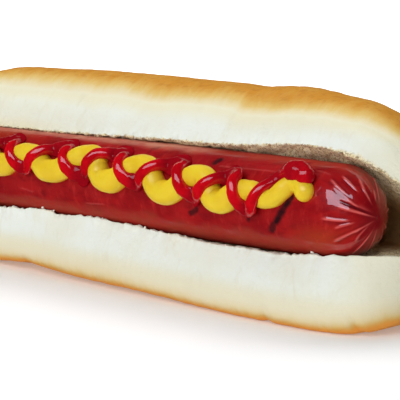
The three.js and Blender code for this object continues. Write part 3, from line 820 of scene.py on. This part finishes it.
def ketchup_size(swing):
    turning = np.where(swing < KETCHUP_LAST_TURN, np.cos(TURN * swing) ** 2, 0)
    blob = (KETCHUP_BLOB_RADIUS - KETCHUP_RADIUS) * bump(swing, KETCHUP_BLOB_AT, KETCHUP_BLOB_SPAN)
    return (KETCHUP_RADIUS + KETCHUP_TURN_SPREAD * turning + blob,
            KETCHUP_RADIUS - KETCHUP_TURN_FLATTENING * turning + blob)


def ketchup_raised(swing):
    """1 where the ketchup crosses the mustard, 0 where it lies on the skin, in between in its last blob."""
    blob = bump(swing, KETCHUP_BLOB_AT, KETCHUP_BLOB_SPAN)
    return mix(over_mustard(swing)[0], BLOB_RAISED, blob)


def build_bead(name, route, size_at, swings, seed, unevenness, lumps, foot=0, raised_at=np.zeros_like):
    """A bead of sauce along its route, closed by two round ends and pressed flat by the skin.

    unevenness is how much its width varies, lumps how far its surface does as a share of its half width,
    and foot the share by which it spreads where it wets the skin."""
    start, end = swings
    swing = np.linspace(start, end, round((end - start) * RINGS_PER_SWING) + 1)
    centres = route(swing)
    ahead = np.gradient(centres, axis=0)
    apart = np.linalg.norm(ahead, axis=1, keepdims=True)
    ahead /= apart
    bend = np.gradient(ahead, axis=0) / apart
    uneven = 1 + noise_at(centres, unevenness, UNEVEN_WIDTH_SIZE, seed, 2)
    sizes = np.stack(size_at(swing), axis=1) * uneven[:, None]
    ends = (BEAD_END_RINGS, BEAD_END_RINGS)
    centres, sizes = with_round_ends(centres, sizes, ahead)
    ahead = np.pad(ahead, (ends, (0, 0)), mode="edge")
    bend = np.pad(bend, (ends, (0, 0)))
    raised = np.pad(raised_at(swing), ends, mode="edge")

    grid = bead_grid(centres, sizes, ahead, bend, foot * (1 - raised))
    flat = grid.reshape(-1, 3)
    lump_depths = lumps * sizes[:, 0].repeat(BEAD_SIDES)
    flat = lifted(grid, noise_at(flat, lump_depths, LUMP_SIZE, seed, 2))
    points = with_tips(off_axis(flat, sausage_radius(flat[:, 0]) - SUNK_INTO_SKIN), BEAD_SIDES)
    return make_mesh(name, points, grid_faces(len(centres), BEAD_SIDES), {
        "raised": np.append(raised.repeat(BEAD_SIDES), [raised[0], raised[-1]]),
        "low": fall(over_skin(points), *LOW_HEIGHTS),
    })


def with_round_ends(centres, sizes, ahead):
    """Adds rings at both ends of a bead that shrink as on a ball."""
    turn = steps(BEAD_END_RINGS)[1:, None] * math.radians(BEAD_LAST_TURN)
    beyond, shrink = np.sin(turn), np.cos(turn)
    first = centres[0] - sizes[0, 0] * beyond * ahead[0]
    last = centres[-1] + sizes[-1, 0] * beyond * ahead[-1]
    return (np.concatenate([first[::-1], centres, last]),
            np.concatenate([(sizes[0] * shrink)[::-1], sizes, sizes[-1] * shrink]))


def bead_grid(centres, sizes, ahead, bend, spread):
    """Rings of points round a bead: wider where it wets the skin, and drawn in on the inside of a bend."""
    outward = centres - [0, SAUSAGE_Y, SAUSAGE_Z]
    outward[:, 0] = 0
    outward -= ahead * np.einsum("ij,ij->i", outward, ahead)[:, None]
    outward /= np.linalg.norm(outward, axis=1, keepdims=True)
    sideways = np.cross(ahead, outward)
    around = steps(BEAD_SIDES)[:-1] * TURN
    up_by = sizes[:, 1:] * np.cos(around)
    side_by = sizes[:, :1] * np.sin(around)
    low = np.clip(1 - (over_skin(centres)[:, None] + up_by) / FOOT_HEIGHT, 0, 1)
    side_by *= 1 + spread[:, None] * low**2
    inward = np.einsum("ij,ij->i", bend, sideways)[:, None] * side_by / TURN_ROOM
    side_by /= (1 + np.maximum(0, inward) ** 4) ** 0.25
    return centres[:, None] + up_by[:, :, None] * outward[:, None] + side_by[:, :, None] * sideways[:, None]


def build_mustard():
    return build_bead("Mustard_bead", mustard_points, mustard_size, MUSTARD_SWINGS, *MUSTARD_SURFACE)


def build_ketchup():
    return build_bead("Ketchup_bead", ketchup_points, ketchup_size, KETCHUP_SWINGS, *KETCHUP_SURFACE,
                      ketchup_raised)


# ---- Crumbs ----
LIP_CRUMBS = 150
LOWER_LIP_SHARE = 0.12
CRUMBS_UNTIL_X = 76
CRUMB_SIZES = (0.12, 0.3)
CRUMB_STRETCHES = ((0.7, 1.4), (0.7, 1.2), (0.6, 1.1))
CRUMB_LUMPS = 0.35
CRUMB_LUMP_SIZE = 1 / 1.3
LOWER_LIP_TOAST = 0.1
SKIN_CRUMBS = [(-25.2, -45, 0.34), (65.9, -52, 0.36)]  # place along the sausage, angle and size
SKIN_CRUMB_HEIGHT = 0.15
TOASTED_PLACES = (-60, -10)  # the upper lip's bits are darkest, and its crumbs largest, between these
TOASTED_SIZE = 1.4
FIBRES = 300
FIBRE_RINGS = 4
FIBRE_LENGTHS = (0.3, 1.2)
FIBRE_THICKNESSES = (0.04, 0.09)
FIBRE_TAPER = 0.8
FIBRE_CORNERS = np.array([(1, 0, 0), (0, 1, 0), (-1, 0, 0), (0, -1, 0)])


def join_bits(name, bits):
    """One mesh of many small bits, each given as its points, its faces and how toasted it is."""
    points, faces, toasts = [], [], []
    for bit_points, bit_faces, toast in bits:
        faces += [[len(toasts) + i for i in face] for face in bit_faces]
        points.append(bit_points)
        toasts += [toast] * len(bit_points)
    return make_mesh(name, np.concatenate(points), faces, {"toast": toasts})


def crumbs():
    """Loose bits of crumb along both lips and a few on the skin."""
    points, faces = unit_ball()
    for x, y, z, size, toast in crumb_places():
        stretch = np.array([rng.uniform(*limits) for limits in CRUMB_STRETCHES])
        lumpy = 1 + noise_at(points, CRUMB_LUMPS, CRUMB_LUMP_SIZE, rng.uniform(0, 90))
        axis = Vector((rng.random(), rng.random(), 0.3)).normalized()
        spin = Matrix.Rotation(rng.uniform(0, TURN), 3, axis)
        bit = points * lumpy[:, None] * stretch * size
        yield bit @ np.array(spin).T + [x, y, z], faces, toast


def unit_ball():
    shape = bmesh.new()
    bmesh.ops.create_icosphere(shape, subdivisions=2, radius=1)
    points = np.array([v.co[:] for v in shape.verts])
    faces = [[v.index for v in f.verts] for f in shape.faces]
    shape.free()
    return points, faces


def on_skin(x, degrees):
    angle = math.radians(degrees)
    away = float(sausage_radius(x)) + SKIN_CRUMB_HEIGHT
    return x, SAUSAGE_Y - away * math.cos(angle), SAUSAGE_Z + away * math.sin(angle)


def is_toasted(x):
    return TOASTED_PLACES[0] < x < TOASTED_PLACES[1]


def toasting(x):
    return rng.uniform(0.4, 1) if is_toasted(x) else rng.uniform(0.1, 0.8)


def crumb_places():
    """Place, size and toasting of each crumb: many on the lips, and a few that fell on the skin."""
    places = [(*on_skin(x, degrees), size, 0) for x, degrees, size in SKIN_CRUMBS]
    for _ in range(LIP_CRUMBS):
        x = rng.uniform(-CRUMBS_UNTIL_X, CRUMBS_UNTIL_X)
        section = bun_section(x)[0]
        lower = rng.random() < LOWER_LIP_SHARE
        lip = section[0 if lower else UPPER_LIP]
        place = (x, lip[1] + rng.uniform(-0.1, 0.5), lip[2] + rng.uniform(-0.15, 0.15))
        size = rng.uniform(*CRUMB_SIZES)
        if is_toasted(x) and not lower:
            size *= TOASTED_SIZE
        places.append((*place, size, LOWER_LIP_TOAST if lower else toasting(x)))
    return places


def fibres():
    """Short torn fibres of crumb that hang from the upper lip."""
    for _ in range(FIBRES):
        x = rng.uniform(-78, 82)
        lip = bun_section(x)[0][UPPER_LIP]
        length = rng.uniform(*FIBRE_LENGTHS)
        thickness = rng.uniform(*FIBRE_THICKNESSES)
        root = np.array([x, lip[1] + rng.uniform(-0.1, 0.9), lip[2] + 0.25])
        lean = np.array([rng.uniform(-0.5, 0.5), rng.uniform(-0.35, 0.35), -1])
        curl = np.array([rng.uniform(-0.4, 0.4), rng.uniform(-0.3, 0.3), 0.15])
        rings = [root + length * t * (lean + curl * t) + thickness * (1 - FIBRE_TAPER * t) * FIBRE_CORNERS
                 for t in steps(FIBRE_RINGS - 1)]
        yield np.concatenate(rings), fibre_faces(), toasting(x)


def fibre_faces():
    """Four sides between each ring of four points and the next, and a face at both ends."""
    last = 4 * (FIBRE_RINGS - 1)
    faces = [[r + i, r + 4 + i, r + 4 + (i + 1) % 4, r + (i + 1) % 4]
             for r in range(0, last, 4) for i in range(4)]
    return faces + [[3, 0, 1, 2], [last, last + 3, last + 2, last + 1]]


# ---- Materials ----
class Nodes:
    """Builds one material's nodes; its methods return the socket that holds their result.

    Colours in blends and ramps are given as they look on a screen, from 0 to 255."""

    def __init__(self, name):
        self.material = bpy.data.materials.new(name)
        self.material.use_nodes = True
        self.tree = self.material.node_tree
        self.shader = self.tree.nodes["Principled BSDF"]

    def node(self, kind, result, inputs, **settings):
        """A new node with its inputs filled, as the socket that holds its result."""
        made = self.tree.nodes.new(kind)
        for key, value in settings.items():
            setattr(made, key, value)
        self.fill(made, inputs)
        return made.outputs[result]

    def fill(self, made, inputs):
        """Gives a node's inputs numbers, or links them to other nodes' sockets."""
        for key, value in inputs.items():
            if isinstance(value, bpy.types.NodeSocket):
                self.tree.links.new(value, made.inputs[key])
            else:
                made.inputs[key].default_value = value

    def places(self, stretch=(1, 1, 1)):
        where = self.node("ShaderNodeTexCoord", "Object", {})
        return self.node("ShaderNodeMapping", "Vector", {"Vector": where, "Scale": stretch})

    def noise(self, size_mm, detail=3, roughness=0.5, stretch=(1, 1, 1), distortion=0):
        return self.node("ShaderNodeTexNoise", "Fac", {
            "Vector": self.places(stretch), "Scale": 1 / (size_mm * MM), "Detail": detail,
            "Roughness": roughness, "Distortion": distortion,
        })

    def strokes(self, size_mm, length, turn):
        """Noise drawn out by length along the X axis turned about Y."""
        drawn = self.node("ShaderNodeMapping", "Vector", {
            "Vector": self.places(), "Rotation": (0, math.radians(turn), 0), "Scale": (length, 1, 1),
        }, vector_type="TEXTURE")
        return self.node("ShaderNodeTexNoise", "Fac", {"Vector": drawn, "Scale": 1 / (size_mm * MM)})

    def cells(self, size_mm):
        return self.node("ShaderNodeTexVoronoi", "Distance", {
            "Vector": self.places(), "Scale": 1 / (size_mm * MM),
        })

    def look(self, name):
        """One of the named numbers that the mesh keeps on its points."""
        return self.node("ShaderNodeAttribute", "Fac", {}, attribute_name=name)

    def span(self, value, low, high, to_low=0, to_high=1):
        return self.node("ShaderNodeMapRange", "Result", {
            "Value": value, "From Min": low, "From Max": high, "To Min": to_low, "To Max": to_high,
        }, interpolation_type="SMOOTHSTEP")

    def math(self, operation, a, b):
        return self.node("ShaderNodeMath", "Value", {0: a, 1: b}, operation=operation)

    def times(self, a, b):
        return self.math("MULTIPLY", a, b)

    def blend(self, share, a, b):
        return self.node("ShaderNodeMix", 2, {0: share, 6: linear(a), 7: linear(b)}, data_type="RGBA")

    def layers(self, colour, *coats):
        """Lays coats over a colour, each by its own share."""
        for share, coat in coats:
            colour = self.blend(share, colour, coat)
        return colour

    def ramp(self, value, stops):
        """Colours at places from 0 to 1, blended between them."""
        made = self.tree.nodes.new("ShaderNodeValToRGB")
        elements = made.color_ramp.elements
        while len(elements) < len(stops):
            elements.new(1)
        for element, (place, colour) in zip(elements, stops):
            element.position = place
            element.color = linear(colour)
        self.fill(made, {"Fac": value})
        return made.outputs["Color"]

    def relief(self, height, depth_mm, strength, **under):
        return self.node("ShaderNodeBump", "Normal", {
            "Distance": depth_mm * MM, "Strength": strength, "Height": height, **under,
        })

    def finish(self, **sockets):
        self.fill(self.shader, {key.replace("_", " "): value for key, value in sockets.items()})
        return self.material


def linear(colour):
    """A colour from 0 to 255 as the linear light that nodes use; a socket stays as it is."""
    if isinstance(colour, bpy.types.NodeSocket):
        return colour
    shares = [c / 255 for c in colour]
    return (*(c / 12.92 if c <= 0.04045 else ((c + 0.055) / 1.055) ** 2.4 for c in shares), 1)


def bread_material():
    nodes = Nodes("bread")
    bake = nodes.look("bake")
    cut = nodes.look("cut")
    cloudy = nodes.noise(13, 4, 0.6)
    streaks = nodes.noise(3.2, 5, 0.65, (1, 0.35, 0.35), 0.4)
    creases = nodes.noise(3.6, 4, 0.6, (1, 0.4, 0.4), 0.8)
    fine = nodes.noise(0.9, 4, 0.6)
    speckles = nodes.noise(0.5, 3, 0.7)
    scuffs = nodes.strokes(1.3, 7, -40)
    fibrous = nodes.noise(0.45, 4, 0.65, (1, 0.22, 0.22), 0.6)
    pores = nodes.cells(1.7)

    pale = nodes.layers(
        nodes.blend(nodes.span(cloudy, 0.35, 0.7), (229, 235, 228), (227, 230, 217)),
        # creamy tone of the bread, and painted shade just above the upper lip
        (nodes.look("cream"), (226, 221, 192)),
        (nodes.span(creases, 0.5, 0.8, 0, 0.45), (214, 208, 182)),
    )
    uneven = nodes.math("ADD", bake, nodes.times(nodes.span(streaks, 0.25, 0.75, -0.16, 0.1), bake))
    baked = nodes.layers(
        nodes.ramp(uneven, [
            (0, (229, 227, 206)), (0.25, (225, 211, 170)), (0.5, (217, 185, 111)),
            (0.75, (209, 159, 72)), (1, (202, 139, 46)),
        ]),
        (nodes.times(nodes.look("top"), 0.5), (184, 112, 38)),
        (nodes.times(nodes.span(scuffs, 0.52, 0.66), nodes.span(bake, 0.6, 1, 0, 0.4)), (178, 112, 32)),
    )
    crumb = nodes.layers(
        nodes.blend(nodes.span(fibrous, 0.3, 0.65), (220, 202, 148), (242, 232, 196)),
        # painted shade in the pits of the crumb's pores
        (nodes.span(pores, 0.1, 0.35, 0.45, 0), (172, 136, 86)),
        (nodes.span(speckles, 0.5, 0.62, 0, 0.75), (122, 90, 54)),
        # painted shade deep in the slit
        (nodes.look("slit_shade"), (164, 122, 74)),
    )
    colour = nodes.layers(
        pale, (nodes.span(bake, 0, 0.12), baked), (nodes.look("seam"), (238, 160, 68)), (cut, crumb),
    )
    height = nodes.math("ADD", fine, nodes.times(nodes.math("ADD", pores, fibrous), cut))
    return nodes.finish(
        Base_Color=colour, Roughness=nodes.span(bake, 0, 1, 0.85, 0.55), Specular_IOR_Level=0.2,
        Normal=nodes.relief(height, 0.3, 0.5),
    )


def sausage_material():
    nodes = Nodes("sausage_skin")
    mark = nodes.look("mark")
    dull_and_sheen = nodes.look("dull_and_sheen")
    cloudy = nodes.noise(16, 3, 0.5)
    mottled = nodes.noise(2.4, 4, 0.6, (0.5, 1, 1))
    fine = nodes.noise(0.5, 3, 0.6)
    streaks = nodes.noise(1.3, 4, 0.65, (1, 0.35, 0.35), 0.3)
    colour = nodes.layers(
        nodes.blend(nodes.span(cloudy, 0.35, 0.65), (139, 8, 16), (160, 17, 20)),
        (nodes.span(mottled, 0.4, 0.7, 0, 0.75), (124, 7, 17)),
        (nodes.span(streaks, 0.5, 0.75, 0, 0.55), (186, 42, 38)),
        (nodes.times(nodes.look("warm"), 0.3), (206, 84, 40)),
        # painted reflection of the bread on the dull top and underside of the sausage
        (nodes.times(dull_and_sheen, nodes.span(mottled, 0.3, 0.6, 0.3, 0.7)), (158, 56, 36)),
        # painted soft highlight along the top of the sausage
        (nodes.times(nodes.look("top_sheen"), nodes.span(mottled, 0.35, 0.6, 0.55, 1)), (188, 120, 98)),
        # painted shade on the gathered tips
        (nodes.times(nodes.look("tip"), 0.5), (98, 10, 20)),
        # painted highlight on the ridges of the folds and wrinkles
        (nodes.look("fold"), (212, 90, 86)),
        # painted shade in the valleys beside the folds
        (nodes.look("crease_shade"), (96, 8, 16)),
        (nodes.times(mark, nodes.span(mottled, 0.2, 0.6, 0.75, 1)), (34, 7, 13)),
    )
    rough = nodes.math("MAXIMUM", nodes.span(mark, 0, 1, 0.34, 0.55), nodes.span(dull_and_sheen, 0, 1, 0.34, 0.6))
    wet = nodes.times(nodes.span(nodes.math("MAXIMUM", mark, dull_and_sheen), 0, 1, 1, 0.05),
                      nodes.span(nodes.look("gloss"), 0, 1, 0.35, 1))
    return nodes.finish(
        Base_Color=colour, Roughness=rough, Specular_IOR_Level=0.08, Coat_Weight=wet, Coat_Roughness=0.04,
        Normal=nodes.relief(fine, 0.03, 0.5, Normal=nodes.relief(mottled, 0.12, 0.5)),
    )


def mustard_material():
    nodes = Nodes("mustard")
    cloudy = nodes.noise(5, 3, 0.5)
    fine = nodes.noise(0.35, 3, 0.6)
    colour = nodes.layers(
        nodes.blend(nodes.span(cloudy, 0.35, 0.65), (229, 199, 38), (224, 188, 30)),
        (nodes.span(fine, 0.55, 0.8, 0, 0.3), (210, 172, 26)),
        (nodes.times(nodes.look("low"), 0.7), (232, 146, 38)),
    )
    return nodes.finish(
        Base_Color=colour, Roughness=0.36, Specular_IOR_Level=0.35,
        Subsurface_Weight=0.15, Subsurface_Radius=(0.002, 0.0015, 0.0003),
        Normal=nodes.relief(fine, 0.02, 0.4, Normal=nodes.relief(cloudy, 0.3, 0.3)),
    )


def ketchup_material():
    nodes = Nodes("ketchup")
    cloudy = nodes.noise(4, 3, 0.5)
    varied = nodes.span(cloudy, 0.35, 0.65)
    fine = nodes.noise(0.5, 3, 0.6)
    raised = nodes.span(nodes.look("raised"), 0.3, 0.85)
    colour = nodes.layers(
        nodes.blend(varied, (150, 12, 24), (136, 9, 21)),
        (raised, nodes.blend(varied, (198, 12, 25), (176, 9, 21))),
        (nodes.span(fine, 0.6, 0.8, 0, 0.3), (120, 4, 14)),
    )
    above_foot = nodes.span(nodes.look("low"), 0.05, 0.5, 1, 0)
    return nodes.finish(
        Base_Color=colour, Roughness=0.3, Specular_IOR_Level=0,
        Coat_Weight=nodes.times(nodes.span(raised, 0, 1, 0.4, 0.9), above_foot), Coat_Roughness=0.03,
        Normal=nodes.relief(cloudy, 0.2, 0.3),
    )


def crumb_material():
    nodes = Nodes("crumb")
    fine = nodes.noise(0.4, 3, 0.6)
    toast = nodes.math("ADD", nodes.look("toast"), nodes.span(fine, 0.3, 0.7, -0.12, 0.12))
    colour = nodes.ramp(toast, [
        (0, (240, 236, 224)), (0.4, (216, 196, 162)), (0.75, (166, 126, 90)), (1, (104, 72, 52)),
    ])
    return nodes.finish(Base_Color=colour, Roughness=0.9, Normal=nodes.relief(fine, 0.08, 0.6))


FLOOR_GREY = (0.8, 0.8, 0.8, 1)
FLOOR_GLOW = (0.21, 0.95)  # near the hot dog and far off
FLOOR_GLOW_DISTANCES = (0.15, 0.9)  # in metres from the middle


def floor_material():
    nodes = Nodes("floor")
    away = nodes.node("ShaderNodeVectorMath", "Value", {0: nodes.places()}, operation="LENGTH")
    glow = nodes.span(away, *FLOOR_GLOW_DISTANCES, *FLOOR_GLOW)
    return nodes.finish(Base_Color=FLOOR_GREY, Roughness=0.9, Specular_IOR_Level=0.1,
                        Emission_Color=(1, 1, 1, 1), Emission_Strength=glow)


# ---- Stage, light and camera ----
CAMERA_AZIMUTH = 45
CAMERA_ELEVATION = 8
CAMERA_PLACE = (306.6, -295.74, 79.85)  # in mm
CAMERA_LENS = 151.56
FLOOR_HALF = 10  # in metres, as all sizes and distances of the lights
LIGHT_AIM_HEIGHT = 0.025
WORLD_STRENGTH = 0.21
WINDOW_TINT = (0.75, 0.84, 1)


def towards(azimuth, elevation):
    """The direction out from the hot dog to an azimuth (0 is its front, 90 is +X) and an elevation."""
    a, e = math.radians(azimuth), math.radians(elevation)
    return Vector((math.sin(a) * math.cos(e), -math.cos(a) * math.cos(e), math.sin(e)))


def build_camera():
    back = towards(CAMERA_AZIMUTH, CAMERA_ELEVATION)
    right = towards(CAMERA_AZIMUTH + 90, 0)
    data = bpy.data.cameras.new("Camera")
    data.lens = CAMERA_LENS
    data.sensor_width = 36
    data.clip_start = 0.01
    data.clip_end = 100
    camera = add_object("Camera", data)
    turned = Matrix((right, back.cross(right), back)).transposed().to_4x4()
    camera.matrix_world = Matrix.Translation(Vector(CAMERA_PLACE) * MM) @ turned
    bpy.context.scene.camera = camera


def build_floor():
    mesh = bpy.data.meshes.new("Floor")
    corners = [(-1, -1), (1, -1), (1, 1), (-1, 1)]
    mesh.from_pydata([(x * FLOOR_HALF, y * FLOOR_HALF, 0) for x, y in corners], [], [(0, 1, 2, 3)])
    mesh.materials.append(floor_material())
    floor = add_object("Floor", mesh)
    floor.visible_glossy = False


def soft_light(name, azimuth, elevation, distance, width, height, power):
    """An area light that stands off the hot dog and faces it."""
    data = bpy.data.lights.new(name, "AREA")
    data.shape = "RECTANGLE"
    data.size = width
    data.size_y = height
    data.energy = power
    light = add_object(name, data)
    place = distance * towards(azimuth, elevation)
    light.location = place + Vector((0, 0, LIGHT_AIM_HEIGHT))
    light.rotation_euler = place.to_track_quat("Z", "Y").to_euler()
    light.visible_glossy = False
    return light


def build_light():
    soft_light("Front_softbox", 16, 38, 1, 0.85, 0.65, 3.6)
    soft_light("Low_fill", 20, 9, 1.3, 1, 0.4, 4)
    soft_light("Top_softbox", 222, 62, 1.1, 1.4, 0.6, 11)
    soft_light("Left_fill", -60, 15, 1.6, 1.2, 0.9, 1.7)
    window = soft_light("Window_shine", 17, 43, 1, 1.1, 0.66, 14)
    window.data.color = WINDOW_TINT
    window.visible_glossy = True
    window.visible_diffuse = False
    world = bpy.data.worlds.new("World")
    world.use_nodes = True
    background = world.node_tree.nodes["Background"]
    background.inputs["Color"].default_value = (1, 1, 1, 1)
    background.inputs["Strength"].default_value = WORLD_STRENGTH
    world.cycles_visibility.glossy = False
    bpy.context.scene.world = world
    bpy.context.scene.view_settings.view_transform = "Standard"
    bpy.context.scene.view_settings.look = "None"


# ---- The hot dog ----
def dress(piece, material, node=None):
    piece.data.materials.append(material)
    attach(piece, "root")
    if node:
        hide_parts(node)


dress(build_bun(), bread_material(), "bun")
dress(build_sausage(), sausage_material(), "sausage")
dress(build_mustard(), mustard_material(), "mustard")
dress(build_ketchup(), ketchup_material(), "ketchup")
crumb_looks = crumb_material()
dress(join_bits("Crumbs", crumbs()), crumb_looks)
dress(join_bits("Fibres", fibres()), crumb_looks)
build_floor()
build_light()
build_camera()
